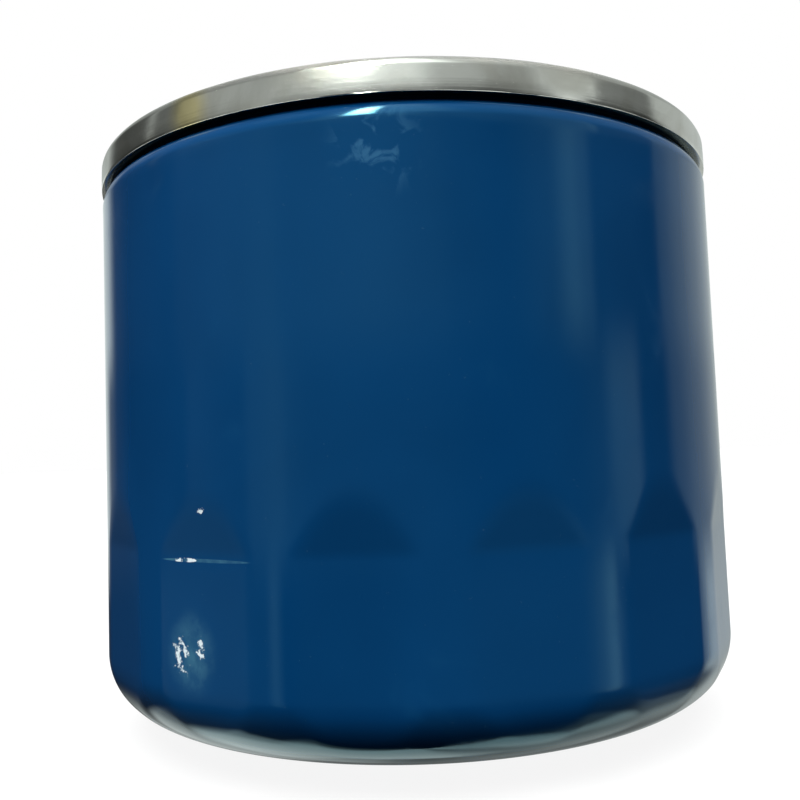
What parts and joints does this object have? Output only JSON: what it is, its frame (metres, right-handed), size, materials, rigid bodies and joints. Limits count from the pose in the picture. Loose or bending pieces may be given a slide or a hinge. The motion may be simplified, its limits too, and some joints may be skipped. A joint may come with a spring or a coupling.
{
  "type": "spin-on engine oil filter",
  "caption": "Spin-on engine oil filter: painted fluted can, seamed lid with gasket, threaded base plate, pleated element, anti-drainback and bypass valves.",
  "frame": {"origin": "centre of the flat foot under the closed dome", "axes": "+Z along the thread axis, out of the thread's mouth; +X is free, the part is round about Z"},
  "size_m": [0.0762, 0.0762, 0.0678],
  "materials": {
    "can_paint": "gloss enamel, deep blue",
    "lid_steel": "bright tin plate",
    "plate_steel": "oiled hot-rolled steel",
    "weld_steel": "pressed weld nuggets",
    "seam_compound": "flowed-in sealing compound",
    "gasket_rubber": "moulded nitrile, satin black",
    "diaphragm_rubber": "moulded silicone, red-brown",
    "cap_steel": "tin plate",
    "cap_adhesive": "cured plastisol",
    "filter_paper": "resin-cured pleated paper",
    "clip_steel": "folded strip",
    "tube_steel": "perforated strip",
    "valve_steel": "zinc-plated pressing",
    "seal_rubber": "nitrile washer",
    "rivet_steel": "plain rivet",
    "spring_steel": "drawn spring steel"
  },
  "bodies": {
    "housing": {"can_shell": "can_paint", "seam_lid": "lid_steel", "base_plate": "plate_steel", "mounting_gasket": "gasket_rubber", "spot_welds": "weld_steel", "seam_compound": "seam_compound", "support_spring": "spring_steel"},
    "element": {"top_end_cap": "cap_steel", "top_cap_adhesive": "cap_adhesive", "pleated_media": "filter_paper", "media_seam_clip": "clip_steel", "centre_tube": "tube_steel", "bottom_cap_adhesive": "cap_adhesive", "bottom_end_cap": "cap_steel", "bypass_cage": "valve_steel", "bypass_spring": "spring_steel"},
    "bypass_valve": {"bypass_disc": "valve_steel", "bypass_seal": "seal_rubber", "bypass_rivet": "rivet_steel"},
    "antidrain_lip": {"antidrain_diaphragm": "diaphragm_rubber"}
  },
  "joints": [
    {"name": "element_float", "type": "slide", "parent": "housing", "child": "element", "axis": [0, 0, -1], "range_m": [0, 0.002], "stiffness_N_per_m": 8000, "springref_m": -0.005, "deforming": ["support_spring"]},
    {"name": "bypass_open", "type": "slide", "parent": "element", "child": "bypass_valve", "axis": [0, 0, 1], "range_m": [0, 0.003], "stiffness_N_per_m": 3000, "springref_m": -0.005, "deforming": ["bypass_spring"]},
    {"name": "antidrain_lift", "type": "slide", "parent": "element", "child": "antidrain_lip", "axis": [0, 0, -1], "range_m": [0, 0.0018], "stiffness_N_per_m": 1500, "springref_m": -0.0005, "deforming": ["antidrain_diaphragm"]}
  ]
}
